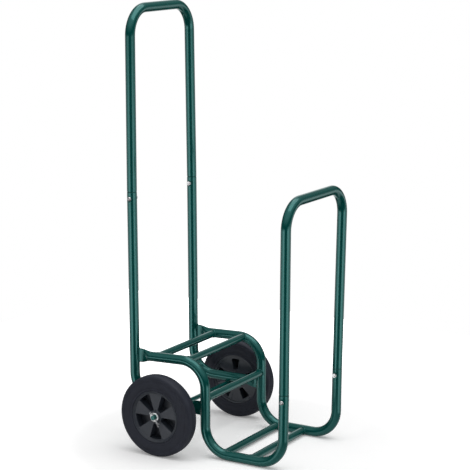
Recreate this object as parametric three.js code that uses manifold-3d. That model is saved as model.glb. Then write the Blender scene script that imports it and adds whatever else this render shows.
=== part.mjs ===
// Fireside log cart: a two-wheeled trolley of bent steel tube that carries and stores firewood.
// Millimetres, +Z up. The origin is on the floor, under the middle of the cart.
// +X runs from the tall handle hoop to the short front hoop, and -Y is the cart's right-hand side.

import * as THREE from 'three';
import { mergeVertices } from 'three/addons/utils/BufferGeometryUtils.js';
import Module from 'manifold-3d';

const wasm = await Module();
wasm.setup();

// ---------------------------------------------------------------- driving dimensions

const tubeRadius = 12.5; // the frame's 25 mm round tube
const tubeWall = 1.2;
const bendRadius = 67; // every bend in the frame, on the tube's centreline
const barRadius = 9.5; // cross bars between the two side frames
const gap = 0.3; // left between pieces that touch

const halfTrack = 141; // from the middle of the cart to a side frame's centreline
const rearX = -217.5; // rear uprights, where they rise from the axle runs
const handleTopX = -224.5; // the uprights and the handle hoop lean back to here
const frontX = 215.5; // front legs, where they rise from the floor runners
const hoopTopX = 224.5; // the front legs and the front hoop lean forwards to here
const stepX = -7; // where the side frame steps down from the shelf to the floor
const shelfRearZ = 236; // centreline of the shelf over the wheels, at the rear uprights
const shelfFrontZ = 243; // and at the corner where it steps down
const runnerZ = tubeRadius; // centreline of the runner that lies on the floor

const handleTopZ = 1125; // highest point of the handle hoop
const handleJointZ = 656; // where the handle hoop plugs into the rear uprights
const handleDrawIn = 4.5; // each leg of the handle hoop leans in by this much at its top
const hoopTopZ = 678.5; // highest point of the front hoop
const hoopJointZ = 193; // where the front hoop plugs into the front legs
const hoopSplay = 6.5; // each leg of the front hoop leans out by this much at its top

const spigotLength = 36; // the narrowed end of a hoop's leg inside the tube below it
const spigotWall = 1.4;
const screwDrop = 16; // from a joint line down to its screw
const screwRadius = 3; // M6
const screwHeadRadius = 5.6;
const screwHeadHeight = 3.4;
const nutAcross = 10; // M6 nut, across its flats
const nutThickness = 5;

const flatHeight = 36.5; // a tube pressed flat is this tall
const flatThickness = 3.4;
const flatLength = 8; // length of the fully flat stretch
const flatTaper = 30; // length over which the round tube becomes flat

const shelfRearBarX = -152;
const shelfFrontBarX = -59;
const stepBarZ = 150;
const floorRearBarX = 44;
const floorFrontBarX = 122;

const wheelRadius = 105;
const wheelWidth = 36.2;
const wheelCentreY = 196.4; // from the middle of the cart to the middle of a tyre
const rimRadius = 66.8;
const axleX = -111;
const axleZ = wheelRadius;
const axleRadius = 6;
const axleEndY = 224;
const hubRadius = 14.5;
const hubInset = 26; // the hub's inner end, from the middle of the tyre
const hubOutset = wheelWidth / 2; // the hub's outer end, flush with the tyre
const washerRadius = 12;
const washerThickness = 2;
const spacerRadius = 9.5;
const spacerStart = 150.5; // from the middle of the cart to the spacer's inner end, below the axle run
const pinRadius = 1.9; // both wires of a split pin together
const pinAngles = { right: 130, left: 52 }; // degrees from +X towards +Z to the split pin's eye

const spokeCount = 5;
const windowHalfAngle = 18; // degrees
const windowInnerRadius = 17;
const windowOuterRadius = 59;
const spokeFaceY = 13.5; // outer face of the spokes, from the middle of the tyre
const webY = -14; // inner face of the web that closes the windows
const webThickness = 3;

const tubeSides = 16; // around a frame tube
const boreSides = 8; // around its bore
const barSides = 12; // around bars, pins and small holes
const wheelSides = 40;
const bendStep = THREE.MathUtils.degToRad(12.9); // seven steps to a right-angled bend

// The axle rod is welded under the axle runs.
const axleRunZ = axleZ + axleRadius + gap + tubeRadius;

// ---------------------------------------------------------------- finishes

const finish = (color, roughness, metalness) => new THREE.MeshStandardMaterial({ color, roughness, metalness });
const greenPaint = finish(0x0c4238, 0.28, 0.1);
const zincPlate = finish(0xb9bcbd, 0.35, 0.9);
const blackRubber = finish(0x2d2f36, 0.75, 0);
const blackPlastic = finish(0x32343b, 0.5, 0);

// ---------------------------------------------------------------- solids

// A geometry as a closed solid that can be joined and cut.
function solid(geometry) {
  const bare = geometry.clone();
  bare.deleteAttribute('normal');
  bare.deleteAttribute('uv');
  const merged = mergeVertices(bare, 1e-4);
  const vertProperties = new Float32Array(merged.attributes.position.array);
  const triVerts = new Uint32Array(merged.index.array);
  return new wasm.Manifold(new wasm.Mesh({ numProp: 3, vertProperties, triVerts }));
}

// The geometry of a solid, with flat faces.
function faceted(body) {
  const { vertProperties, triVerts } = body.getMesh();
  const indexed = new THREE.BufferGeometry();
  indexed.setAttribute('position', new THREE.BufferAttribute(vertProperties, 3));
  indexed.setIndex(new THREE.BufferAttribute(triVerts, 1));
  const geometry = indexed.toNonIndexed();
  geometry.computeVertexNormals();
  return geometry;
}

// A regular polygon whose sides touch a circle of the given radius, with a side facing each axis.
function polygon(radius, sides) {
  const corner = radius / Math.cos(Math.PI / sides);
  const points = Array.from({ length: sides }, (_, i) => {
    const angle = (2 * Math.PI * (i + 0.5)) / sides;
    return new THREE.Vector2(corner * Math.cos(angle), corner * Math.sin(angle));
  });
  return new THREE.Shape(points);
}

// A round bar, or a tube where a bore is given, along Y between two places.
function barAlongY(radius, fromY, toY, { bore = 0, sides = barSides } = {}) {
  const section = polygon(radius, sides);
  if (bore > 0) section.holes.push(polygon(bore, sides));
  const geometry = new THREE.ExtrudeGeometry(section, { depth: toY - fromY, bevelEnabled: false });
  return geometry.rotateX(-Math.PI / 2).translate(0, fromY, 0);
}

// A solid turned about Y from a profile of [radius, y] points, counted anticlockwise. The profile
// starts and ends on the axis, or closes on itself.
function turned(profile, sides) {
  const points = profile.map(([radius, y]) => new THREE.Vector2(radius, y));
  if (points[0].x > 0) points.push(points[0].clone());
  return new THREE.LatheGeometry(points, sides);
}

// ---------------------------------------------------------------- bent tube

// The centreline of a bent tube: straight runs through the given corners, each corner rounded off.
// Its stations stand only where a run starts or ends and along each bend.
class BentLine extends THREE.Curve {
  constructor(corners, radius, step = bendStep) {
    super();
    this.places = [corners[0]];
    this.headings = [corners[1].clone().sub(corners[0]).normalize()];
    for (let i = 1; i < corners.length - 1; i += 1) {
      this.addBend(corners[i], corners[i + 1], radius, step);
    }
    this.places.push(corners[corners.length - 1]);
    this.headings.push(this.headings[this.headings.length - 1]);
  }

  addBend(corner, next, radius, step) {
    const arriving = this.headings[this.headings.length - 1];
    const leaving = next.clone().sub(corner).normalize();
    const turn = arriving.angleTo(leaving);
    const inward = leaving.clone().addScaledVector(arriving, -leaving.dot(arriving)).normalize();
    const start = corner.clone().addScaledVector(arriving, -radius * Math.tan(turn / 2));
    const count = Math.ceil(turn / step - 1e-6);
    for (let i = 0; i <= count; i += 1) {
      const angle = (turn * i) / count;
      const along = arriving.clone().multiplyScalar(radius * Math.sin(angle));
      const across = inward.clone().multiplyScalar(radius * (1 - Math.cos(angle)));
      this.places.push(start.clone().add(along).add(across));
      const heading = arriving.clone().multiplyScalar(Math.cos(angle));
      this.headings.push(heading.addScaledVector(inward, Math.sin(angle)));
    }
  }

  get steps() {
    return this.places.length - 1;
  }

  getPointAt(u, target = new THREE.Vector3()) {
    return target.copy(this.places[Math.round(u * this.steps)]);
  }

  getTangentAt(u, target = new THREE.Vector3()) {
    return target.copy(this.headings[Math.round(u * this.steps)]);
  }
}

function swept(section, line) {
  return new THREE.ExtrudeGeometry(section, { steps: line.steps, extrudePath: line, bevelEnabled: false });
}

// The radius of the largest round bar that fits the bore, a polygon with the area of the round bore.
const boreFit = (tubeRadius - tubeWall) * Math.sqrt(Math.PI / (boreSides * Math.tan(Math.PI / boreSides)));

function frameTube(corners) {
  const section = polygon(tubeRadius, tubeSides);
  section.holes.push(polygon(boreFit, boreSides));
  return solid(swept(section, new BentLine(corners, bendRadius)));
}

// A tube's end pressed flat in the XZ plane. It runs along +X from the flat edge at x = 0 to the
// round tube, which it enters a little way.
function flattenedEnd() {
  const overlap = 4;
  const stations = [0, flatLength];
  const taperSteps = 6;
  for (let i = 1; i <= taperSteps; i += 1) stations.push(flatLength + (flatTaper * i) / taperSteps);
  stations.push(flatLength + flatTaper + overlap);
  const slip = 0.998; // a shade smaller than the tube, so that the two join cleanly
  const corner = (slip * tubeRadius) / Math.cos(Math.PI / tubeSides);
  const quarter = Math.PI / 2;
  const edge = 1 - Math.PI / tubeSides / quarter;
  const rings = stations.map((x) => {
    const round = THREE.MathUtils.smoothstep(x, flatLength, flatLength + flatTaper);
    return Array.from({ length: tubeSides }, (_, i) => {
      const angle = (2 * Math.PI * (i + 0.5)) / tubeSides; // from +Z towards +Y
      const rise = (quarter - Math.acos(Math.cos(angle))) / quarter / edge; // 1 at the top edge, -1 at the bottom
      const flatY = (Math.sign(Math.sin(angle)) * flatThickness) / 2;
      const flatZ = (rise * flatHeight) / 2;
      const y = THREE.MathUtils.lerp(flatY, corner * Math.sin(angle), round);
      const z = THREE.MathUtils.lerp(flatZ, corner * Math.cos(angle), round);
      return new THREE.Vector3(x, y, z);
    });
  });
  return lofted(rings);
}

// A closed solid through rings of points, each ring counted from +Z towards +Y along +X.
function lofted(rings) {
  const size = rings[0].length;
  const positions = rings.flat().flatMap((point) => point.toArray());
  const index = [];
  for (let ring = 0; ring < rings.length - 1; ring += 1) {
    for (let i = 0; i < size; i += 1) {
      const a = ring * size + i;
      const b = ring * size + ((i + 1) % size);
      index.push(a, a + size, b, b, a + size, b + size);
    }
  }
  const last = (rings.length - 1) * size;
  for (let i = 1; i < size - 1; i += 1) {
    index.push(0, i, i + 1);
    index.push(last, last + i + 1, last + i);
  }
  const geometry = new THREE.BufferGeometry();
  geometry.setAttribute('position', new THREE.Float32BufferAttribute(positions, 3));
  geometry.setIndex(index);
  return geometry;
}

// A hole along Y, right through a tube.
function crossHole(radius, x, z) {
  const reach = tubeRadius + 5;
  return solid(barAlongY(radius, -reach, reach).translate(x, 0, z));
}

// ---------------------------------------------------------------- leaning legs

// A leg and the hoop on top of it follow one line in the XZ plane, from a place at the leg's foot to
// the hoop's crown.
class Lean {
  constructor(footX, footZ, crownX, crownZ) {
    this.footX = footX;
    this.footZ = footZ;
    this.tilt = Math.atan2(crownX - footX, crownZ - footZ);
  }

  xAt(z) {
    return this.footX + (z - this.footZ) * Math.tan(this.tilt);
  }

  // How far along the line a height lies.
  reachOf(z) {
    return (z - this.footZ) / Math.cos(this.tilt);
  }

  // Stands what was modelled upright, from its foot at Z = 0, on the line.
  stand(mesh) {
    mesh.position.set(this.footX, 0, this.footZ);
    mesh.rotation.y = this.tilt;
  }
}

const rearLean = new Lean(rearX, axleRunZ, handleTopX, handleTopZ - tubeRadius);
const frontLean = new Lean(frontX, runnerZ, hoopTopX, hoopTopZ - tubeRadius);

// ---------------------------------------------------------------- frame pieces

// A hoop is modelled in the YZ plane. Each leg ends in a spigot that is drilled for its screw.
function hoop(lean, jointZ, topZ, topHalfWidth) {
  const crownZ = lean.reachOf(topZ - tubeRadius);
  const footZ = lean.reachOf(jointZ) + gap;
  let body = frameTube([
    new THREE.Vector3(0, -halfTrack, footZ),
    new THREE.Vector3(0, -topHalfWidth, crownZ),
    new THREE.Vector3(0, topHalfWidth, crownZ),
    new THREE.Vector3(0, halfTrack, footZ),
  ]);
  const polygonScale = 1 / Math.cos(Math.PI / barSides);
  const outer = (boreFit - gap) / polygonScale;
  const grip = tubeRadius - tubeWall / 2; // the spigot's root is buried in the tube's wall
  const rootHeight = 6;
  const profile = [
    [outer - spigotWall, -spigotLength],
    [outer, -spigotLength],
    [outer, gap],
    [grip, gap],
    [grip, rootHeight],
    [outer - spigotWall, rootHeight],
  ].map(([radius, z]) => [radius * polygonScale, z]);
  for (const side of [-1, 1]) {
    const spigot = turned(profile, barSides).rotateY(Math.PI / barSides).rotateX(Math.PI / 2);
    body = body.add(solid(spigot.translate(0, side * halfTrack, footZ)));
    const hole = crossHole(screwRadius + gap, 0, lean.reachOf(jointZ - screwDrop));
    body = body.subtract(hole.translate([0, side * halfTrack, 0]));
  }
  return faceted(body);
}

// The side frame's line: the shelf, the step, the floor runner and the front leg.
const shelfStart = rearLean.xAt(shelfRearZ) + tubeRadius + gap;
const shelfRise = (shelfFrontZ - shelfRearZ) / (stepX - shelfStart);
const shelfZAt = (x) => shelfRearZ + shelfRise * (x - shelfStart);
const shelfRoundX = shelfStart + flatLength + flatTaper;
const sideFrameCorners = [
  new THREE.Vector3(shelfRoundX, 0, shelfZAt(shelfRoundX)),
  new THREE.Vector3(stepX, 0, shelfFrontZ),
  new THREE.Vector3(stepX, 0, runnerZ),
  new THREE.Vector3(frontX, 0, runnerZ),
  new THREE.Vector3(frontLean.xAt(hoopJointZ), 0, hoopJointZ),
];

// One bent tube, whose rear end is pressed flat against the rear upright.
function sideFrame() {
  const tube = frameTube(sideFrameCorners);
  const slope = new THREE.Matrix4().makeShear(0, shelfRise, 0, 0, 0, 0); // keeps the flat edge upright
  const end = solid(flattenedEnd().applyMatrix4(slope).translate(shelfStart, 0, shelfRearZ));
  const screwZ = hoopJointZ - screwDrop;
  const hole = crossHole(screwRadius + gap, frontLean.xAt(screwZ), screwZ);
  return faceted(tube.add(end).subtract(hole));
}

// One bent tube: the rear leg below the handle joint, bent forwards behind the wheel into the run
// that carries the axle, with a flattened end on the side frame's step.
function rearUpright() {
  const flatEnd = stepX - tubeRadius - gap;
  const roundEnd = flatEnd - flatLength - flatTaper;
  const tube = frameTube([
    new THREE.Vector3(rearLean.xAt(handleJointZ), 0, handleJointZ),
    new THREE.Vector3(rearX, 0, axleRunZ),
    new THREE.Vector3(roundEnd, 0, axleRunZ),
  ]);
  const end = solid(flattenedEnd().rotateZ(Math.PI).translate(flatEnd, 0, axleRunZ));
  const screwZ = handleJointZ - screwDrop;
  const hole = crossHole(screwRadius + gap, rearLean.xAt(screwZ), screwZ);
  return faceted(tube.add(end).subtract(hole));
}

// A cross bar, its ends coped to the side frames' tubes.
const cope = solid(swept(polygon(tubeRadius + gap, tubeSides), new BentLine(sideFrameCorners, bendRadius)));

function crossBar(x, z) {
  const reach = halfTrack - tubeRadius / 2;
  let body = solid(barAlongY(barRadius, -reach, reach, { bore: barRadius - tubeWall }).translate(x, 0, z));
  for (const side of [-1, 1]) body = body.subtract(cope.translate([0, side * halfTrack, 0]));
  return faceted(body);
}

// ---------------------------------------------------------------- fasteners, +Y outwards

// The screw's head sits outside the tube, and its shank ends past the nut inside the cart.
function screw() {
  const seat = tubeRadius + gap;
  const tip = -tubeRadius - nutThickness - 2.5;
  const recessRadius = 2.2;
  const recessDepth = 1.8;
  return turned([
    [0, tip],
    [screwRadius - 0.6, tip],
    [screwRadius, tip + 0.8],
    [screwRadius, seat],
    [screwHeadRadius, seat],
    [screwHeadRadius, seat + 0.8],
    [screwHeadRadius * 0.8, seat + screwHeadHeight * 0.8],
    [recessRadius, seat + screwHeadHeight],
    [recessRadius * 0.6, seat + screwHeadHeight - recessDepth],
    [0, seat + screwHeadHeight - recessDepth],
  ], barSides);
}

function nut() {
  const section = polygon(nutAcross / 2, 6);
  section.holes.push(polygon(screwRadius + gap, barSides));
  const geometry = new THREE.ExtrudeGeometry(section, { depth: nutThickness, bevelEnabled: false });
  return geometry.rotateX(-Math.PI / 2).translate(0, -tubeRadius - gap - nutThickness, 0);
}

function washer(fromY) {
  return barAlongY(washerRadius, fromY, fromY + washerThickness, { bore: axleRadius + gap, sides: 20 });
}

// A split pin lies in the XZ plane, with its eye towards +X and its two wires opened at the tips.
function splitPin() {
  const wire = pinRadius / 2;
  const corners = [
    [-26, 5.2],
    [-9, wire + 0.1],
    [7.5, wire + 0.1],
    [10.5, 3.4],
    [16, 3.4],
    [16, -3.4],
    [10.5, -3.4],
    [7.5, -wire - 0.1],
    [-9, -wire - 0.1],
    [-22, -4.6],
  ].map(([x, z]) => new THREE.Vector3(x, 0, z));
  const section = new THREE.Shape([
    [0.7 * wire, wire],
    [-0.7 * wire, wire],
    [-1.6 * wire, 0],
    [-0.7 * wire, -wire],
    [0.7 * wire, -wire],
    [1.6 * wire, 0],
  ].map(([x, y]) => new THREE.Vector2(x, y)));
  return swept(section, new BentLine(corners, 2.4, Math.PI / 6));
}

// ---------------------------------------------------------------- axle and wheels, +Y outwards

// The rod, cross-drilled near each end for a split pin.
function axle() {
  let body = solid(barAlongY(axleRadius, -axleEndY, axleEndY));
  for (const [name, side] of [['right', -1], ['left', 1]]) {
    const drill = barAlongY(pinRadius + gap, -2 * axleRadius, 2 * axleRadius);
    drill.rotateZ(-Math.PI / 2);
    drill.rotateY(-THREE.MathUtils.degToRad(pinAngles[name]));
    body = body.subtract(solid(drill.translate(0, side * pinY, 0)));
  }
  return faceted(body);
}

// The tyre's section is flat-sided, with round shoulders and a slightly crowned tread.
function tyre() {
  const half = wheelWidth / 2;
  const shoulder = 9;
  const seat = rimRadius + gap / 2;
  const profile = [[seat, half - 2], [seat + 3, half - 0.4], [seat + 8, half]];
  const arcSteps = 3;
  for (let i = 0; i <= arcSteps; i += 1) {
    const angle = (Math.PI / 2) * (i / arcSteps);
    const radius = wheelRadius - 0.6 - shoulder * (1 - Math.sin(angle));
    profile.push([radius, half - shoulder * (1 - Math.cos(angle))]);
  }
  const inner = profile.map(([radius, y]) => [radius, -y]);
  const outer = profile.reverse();
  return turned([...inner, [wheelRadius, 0], ...outer], wheelSides);
}

// A wedge of the wheel between two radii, centred on an angle from +X towards +Z.
function wedge(innerRadius, outerRadius, middle, halfAngle, fromY, toY) {
  const steps = 4;
  const points = [];
  for (let i = 0; i <= steps; i += 1) {
    const angle = middle - halfAngle + (2 * halfAngle * i) / steps;
    points.push(new THREE.Vector2(outerRadius * Math.cos(angle), outerRadius * Math.sin(angle)));
  }
  for (const angle of [middle + halfAngle, middle - halfAngle]) {
    points.push(new THREE.Vector2(innerRadius * Math.cos(angle), innerRadius * Math.sin(angle)));
  }
  const geometry = new THREE.ExtrudeGeometry(new THREE.Shape(points), { depth: toY - fromY, bevelEnabled: false });
  return solid(geometry.rotateX(Math.PI / 2).translate(0, toY, 0));
}

// The moulded wheel: hub, five spokes with windows between them, and the band that the tyre grips.
// Behind each spoke the moulding is hollow, so that its walls stay even.
function wheelRim() {
  const half = wheelWidth / 2;
  const band = rimRadius - gap / 2;
  const bandInner = windowOuterRadius + 2.5;
  let body = solid(turned([
    [axleRadius + gap, -hubInset],
    [hubRadius, -hubInset],
    [hubRadius, webY],
    [bandInner, webY],
    [bandInner, -half + 2],
    [band, -half + 2],
    [band, half - 2],
    [bandInner, half - 2],
    [bandInner - 1.5, spokeFaceY],
    [hubRadius, spokeFaceY],
    [hubRadius, hubOutset],
    [axleRadius + gap, hubOutset],
  ], wheelSides));
  const pitch = (2 * Math.PI) / spokeCount;
  const wall = 3;
  for (let i = 0; i < spokeCount; i += 1) {
    const spoke = Math.PI / 2 + i * pitch;
    const halfAngle = THREE.MathUtils.degToRad(windowHalfAngle);
    const opening = wedge(
      windowInnerRadius, windowOuterRadius, spoke + pitch / 2, halfAngle, webY + webThickness, half,
    );
    const hollow = wedge(
      windowInnerRadius + 10, windowOuterRadius - 2, spoke, pitch / 2 - halfAngle - 0.1, -half, spokeFaceY - wall,
    );
    body = body.subtract(opening).subtract(hollow);
  }
  return faceted(body);
}

// ---------------------------------------------------------------- places across the cart

const wheelInnerFace = wheelCentreY - hubInset;
const wheelOuterFace = wheelCentreY + hubOutset;
const innerWasherY = wheelInnerFace - gap - washerThickness;
const outerWasherY = wheelOuterFace + gap;
const pinY = outerWasherY + washerThickness + gap + pinRadius;

// ---------------------------------------------------------------- the cart

const cart = new THREE.Group();

function add(parent, name, geometry, material) {
  const mesh = new THREE.Mesh(geometry, material);
  mesh.name = name;
  parent.add(mesh);
  return mesh;
}

const handleHoop = hoop(rearLean, handleJointZ, handleTopZ, halfTrack - handleDrawIn);
const frontHoop = hoop(frontLean, hoopJointZ, hoopTopZ, halfTrack + hoopSplay);
rearLean.stand(add(cart, 'handle_hoop', handleHoop, greenPaint));
frontLean.stand(add(cart, 'front_hoop', frontHoop, greenPaint));
add(cart, 'shelf_rear_bar', crossBar(shelfRearBarX, shelfZAt(shelfRearBarX)), greenPaint);
add(cart, 'shelf_front_bar', crossBar(shelfFrontBarX, shelfZAt(shelfFrontBarX)), greenPaint);
add(cart, 'step_bar', crossBar(stepX, stepBarZ), greenPaint);
add(cart, 'floor_rear_bar', crossBar(floorRearBarX, runnerZ), greenPaint);
add(cart, 'floor_front_bar', crossBar(floorFrontBarX, runnerZ), greenPaint);
add(cart, 'axle', axle(), greenPaint).position.set(axleX, 0, axleZ);

for (const [name, side] of [['right', -1], ['left', 1]]) {
  add(cart, `side_frame_${name}`, sideFrame(), greenPaint).position.y = side * halfTrack;
  add(cart, `rear_upright_${name}`, rearUpright(), greenPaint).position.y = side * halfTrack;

  // What turns on the axle or sits on it, and the joints' fasteners, face outwards along +Y.
  const outwards = side > 0 ? 0 : Math.PI;
  const onAxle = new THREE.Group();
  onAxle.position.set(axleX, 0, axleZ);
  onAxle.rotation.z = outwards;
  cart.add(onAxle);
  add(onAxle, `axle_spacer_${name}`, barAlongY(
    spacerRadius, spacerStart, innerWasherY - gap, { bore: axleRadius + gap },
  ), zincPlate);
  add(onAxle, `inner_washer_${name}`, washer(innerWasherY), zincPlate);
  add(onAxle, `wheel_rim_${name}`, wheelRim(), blackPlastic).position.y = wheelCentreY;
  add(onAxle, `tyre_${name}`, tyre(), blackRubber).position.y = wheelCentreY;
  add(onAxle, `outer_washer_${name}`, washer(outerWasherY), zincPlate);

  const pin = add(cart, `split_pin_${name}`, splitPin(), zincPlate);
  pin.position.set(axleX, side * pinY, axleZ);
  pin.rotation.y = -THREE.MathUtils.degToRad(pinAngles[name]);

  for (const [joint, lean, jointZ] of [['handle', rearLean, handleJointZ], ['front', frontLean, hoopJointZ]]) {
    const place = new THREE.Group();
    const screwZ = jointZ - screwDrop;
    place.position.set(lean.xAt(screwZ), side * halfTrack, screwZ);
    place.rotation.z = outwards;
    cart.add(place);
    add(place, `${joint}_screw_${name}`, screw(), zincPlate);
    add(place, `${joint}_nut_${name}`, nut(), zincPlate);
  }
}

export default cart;
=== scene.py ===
# Fireside log cart: round painted tube, moulded wheels and zinc hardware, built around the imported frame.
# Metres, +Z up. +X runs from the tall handle hoop to the short front hoop, and -Y is the cart's right.
import math

import bmesh
import bpy
from mathutils import Matrix, Vector
from mathutils.geometry import intersect_point_line


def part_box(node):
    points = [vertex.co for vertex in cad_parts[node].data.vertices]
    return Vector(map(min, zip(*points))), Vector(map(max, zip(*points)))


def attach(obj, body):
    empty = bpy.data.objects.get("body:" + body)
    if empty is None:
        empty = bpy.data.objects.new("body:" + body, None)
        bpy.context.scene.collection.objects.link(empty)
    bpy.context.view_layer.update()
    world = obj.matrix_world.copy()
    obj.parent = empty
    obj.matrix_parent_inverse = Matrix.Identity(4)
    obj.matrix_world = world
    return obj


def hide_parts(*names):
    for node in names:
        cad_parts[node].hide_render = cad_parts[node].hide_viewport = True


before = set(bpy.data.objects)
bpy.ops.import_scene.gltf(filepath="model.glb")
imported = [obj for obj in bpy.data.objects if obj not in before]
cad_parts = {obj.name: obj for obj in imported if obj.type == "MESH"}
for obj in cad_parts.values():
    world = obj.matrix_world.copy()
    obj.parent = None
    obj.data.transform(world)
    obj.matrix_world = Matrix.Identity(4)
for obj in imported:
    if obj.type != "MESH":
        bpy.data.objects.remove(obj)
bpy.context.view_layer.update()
bpy.ops.object.select_all(action="DESELECT")
print("frame loaded")

mm = 0.001


def boxMiddle(node):
    low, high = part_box(node)
    return (low + high) / 2


def boxSize(node):
    low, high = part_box(node)
    return high - low


def reachOf(node):
    # How near to the cart's middle plane a node starts, and how far from it it ends.
    low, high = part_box(node)
    return sorted((abs(low.y), abs(high.y)))


# ---- camera ----

camera = {
    "azimuth": 30.7,  # degrees from the cart's right-hand side round towards its front
    "elevation": 11.26,
    "distance": 4.286,
    "target": (-0.0039, -0.0006, 0.5443),
    "lens": 129.9,
    "sensor": 36.0,
}


def makeCamera():
    around = math.radians(camera["azimuth"])
    above = math.radians(camera["elevation"])
    back = Vector((
        math.sin(around) * math.cos(above),
        -math.cos(around) * math.cos(above),
        math.sin(above),
    ))
    spot = Vector(camera["target"]) + back * camera["distance"]
    bpy.ops.object.camera_add(location=spot, rotation=back.to_track_quat("Z", "Y").to_euler())
    made = bpy.context.object
    made.name = "photoCamera"
    made.data.lens = camera["lens"]
    made.data.sensor_width = camera["sensor"]
    made.data.clip_end = 60
    bpy.context.scene.camera = made


makeCamera()


# ---- shader maths ----

class Wire:
    # A socket of a node tree. Sums and products of wires add Math nodes to the tree.
    def __init__(self, paint, socket):
        self.paint = paint
        self.socket = socket

    def reckon(self, operation, first, second):
        return self.paint.node("ShaderNodeMath", {"operation": operation}, {0: first, 1: second})

    def __add__(self, other):
        return self.reckon("ADD", self, other)

    def __sub__(self, other):
        return self.reckon("SUBTRACT", self, other)

    def __rsub__(self, other):
        return self.reckon("SUBTRACT", other, self)

    def __mul__(self, other):
        return self.reckon("MULTIPLY", self, other)

    __radd__ = __add__
    __rmul__ = __mul__


class Paint:
    # A material, or the world, and the nodes that it is made of.
    def __init__(self, owner):
        owner.use_nodes = True
        self.owner = owner
        self.tree = owner.node_tree
        self.tree.nodes.clear()

    def node(self, kind, settings=None, values=None, output=0):
        made = self.tree.nodes.new(kind)
        for key, value in (settings or {}).items():
            if key == "stops":
                self.setStops(made.color_ramp, value)
            else:
                setattr(made, key, value)
        for key, value in (values or {}).items():
            if isinstance(value, Wire):
                self.tree.links.new(value.socket, made.inputs[key])
            else:
                made.inputs[key].default_value = value
        return Wire(self, made.outputs[output]) if made.outputs else made

    def setStops(self, ramp, stops):
        while len(ramp.elements) < len(stops):
            ramp.elements.new(0.5)
        for element, (position, grey) in zip(ramp.elements, stops):
            element.position = position
            element.color = (grey, grey, grey, 1)

    def noise(self, scale, detail=2.0, roughness=0.5, stretch=None):
        where = self.node("ShaderNodeTexCoord", output="Object")
        if stretch:
            where = self.node("ShaderNodeMapping", values={"Vector": where, "Scale": stretch})
        return self.node("ShaderNodeTexNoise", values={
            "Vector": where, "Scale": scale, "Detail": detail, "Roughness": roughness,
        })

    def ramp(self, factor, *stops):
        return self.node("ShaderNodeValToRGB", {"stops": stops}, {"Fac": factor})

    def blend(self, factor, first, second):
        return self.node("ShaderNodeMix", {"data_type": "RGBA"}, {
            "Factor": factor, 6: (*first, 1), 7: (*second, 1),
        }, output=2)

    def bump(self, height, strength, distance):
        return self.node("ShaderNodeBump", values={
            "Height": height, "Strength": strength, "Distance": distance,
        })

    def surface(self, values):
        shader = self.node("ShaderNodeBsdfPrincipled", values=values)
        self.node("ShaderNodeOutputMaterial", values={"Surface": shader})
        return self.owner


# ---- finishes ----

greenPowderCoat = {
    "deep": (0.0012, 0.055, 0.048),
    "pale": (0.0020, 0.068, 0.060),
    "sheen": (0.4, 0.98, 0.94),  # the gloss takes a little of the pigment's colour
    "roughness": 0.11,
    "orangePeel": 430,  # ripples per metre, near enough
}


def makeGreenPowderCoat():
    look = greenPowderCoat
    paint = Paint(bpy.data.materials.new("greenPowderCoat"))
    cloud = paint.noise(15, detail=4)
    speck = paint.noise(1900, detail=1)
    return paint.surface({
        "Base Color": paint.blend(cloud * 0.75 + speck * 0.25, look["deep"], look["pale"]),
        "Roughness": look["roughness"] + 0.08 * paint.noise(70, detail=3),
        "Specular IOR Level": 0.9,
        "Specular Tint": (*look["sheen"], 1),
        "Normal": paint.bump(paint.noise(look["orangePeel"], detail=1), 0.1, 0.0003),
    })


brightZincPlate = {
    "bright": (0.78, 0.79, 0.80),
    "dull": (0.56, 0.57, 0.58),
}


def makeBrightZincPlate():
    look = brightZincPlate
    paint = Paint(bpy.data.materials.new("brightZincPlate"))
    bloom = paint.ramp(paint.noise(330, detail=5, roughness=0.65), (0.42, 0), (0.72, 1))
    return paint.surface({
        "Base Color": paint.blend(bloom, look["bright"], look["dull"]),
        "Metallic": 1.0,
        "Roughness": 0.3 + 0.2 * bloom,
        "Normal": paint.bump(paint.noise(1500, detail=2, stretch=(1, 0.15, 1)), 0.15, 0.0001),
    })


blackSolidRubber = {
    "clean": (0.019, 0.022, 0.034),
    "dusty": (0.031, 0.035, 0.050),
}


def makeBlackSolidRubber():
    look = blackSolidRubber
    paint = Paint(bpy.data.materials.new("blackSolidRubber"))
    dust = paint.ramp(paint.noise(38, detail=6, roughness=0.62), (0.4, 0), (0.75, 1))
    return paint.surface({
        "Base Color": paint.blend(dust, look["clean"], look["dusty"]),
        "Roughness": 0.5 + 0.2 * dust,
        "Specular IOR Level": 0.25,
        "Normal": paint.bump(paint.noise(1500, detail=3), 0.2, 0.0002),
    })


blackMouldedPlastic = {
    "deep": (0.026, 0.032, 0.044),
    "pale": (0.036, 0.044, 0.058),
}


def makeBlackMouldedPlastic():
    look = blackMouldedPlastic
    paint = Paint(bpy.data.materials.new("blackMouldedPlastic"))
    flow = paint.noise(26, detail=3)
    return paint.surface({
        "Base Color": paint.blend(flow, look["deep"], look["pale"]),
        "Roughness": 0.36 + 0.16 * flow,
        "Normal": paint.bump(paint.noise(1100, detail=2), 0.16, 0.00015),
    })


finishes = {
    "green_paint": makeGreenPowderCoat(),
    "zinc_plate": makeBrightZincPlate(),
    "black_rubber": makeBlackSolidRubber(),
    "black_plastic": makeBlackMouldedPlastic(),
}
print("finishes made")


# ---- working in code as by hand ----

def keep(piece, body, slotName, *nodes):
    # A finished piece takes its finish, rides on its body and stands for its CAD nodes.
    piece.data.materials.clear()
    piece.data.materials.append(finishes[slotName])
    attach(piece, body)
    if nodes:
        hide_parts(*nodes)


def activate(piece):
    bpy.ops.object.select_all(action="DESELECT")
    piece.select_set(True)
    bpy.context.view_layer.objects.active = piece


def edit(piece):
    activate(piece)
    bpy.ops.object.mode_set(mode="EDIT")
    bpy.ops.mesh.select_all(action="SELECT")


def leave():
    bpy.ops.object.mode_set(mode="OBJECT")


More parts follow.
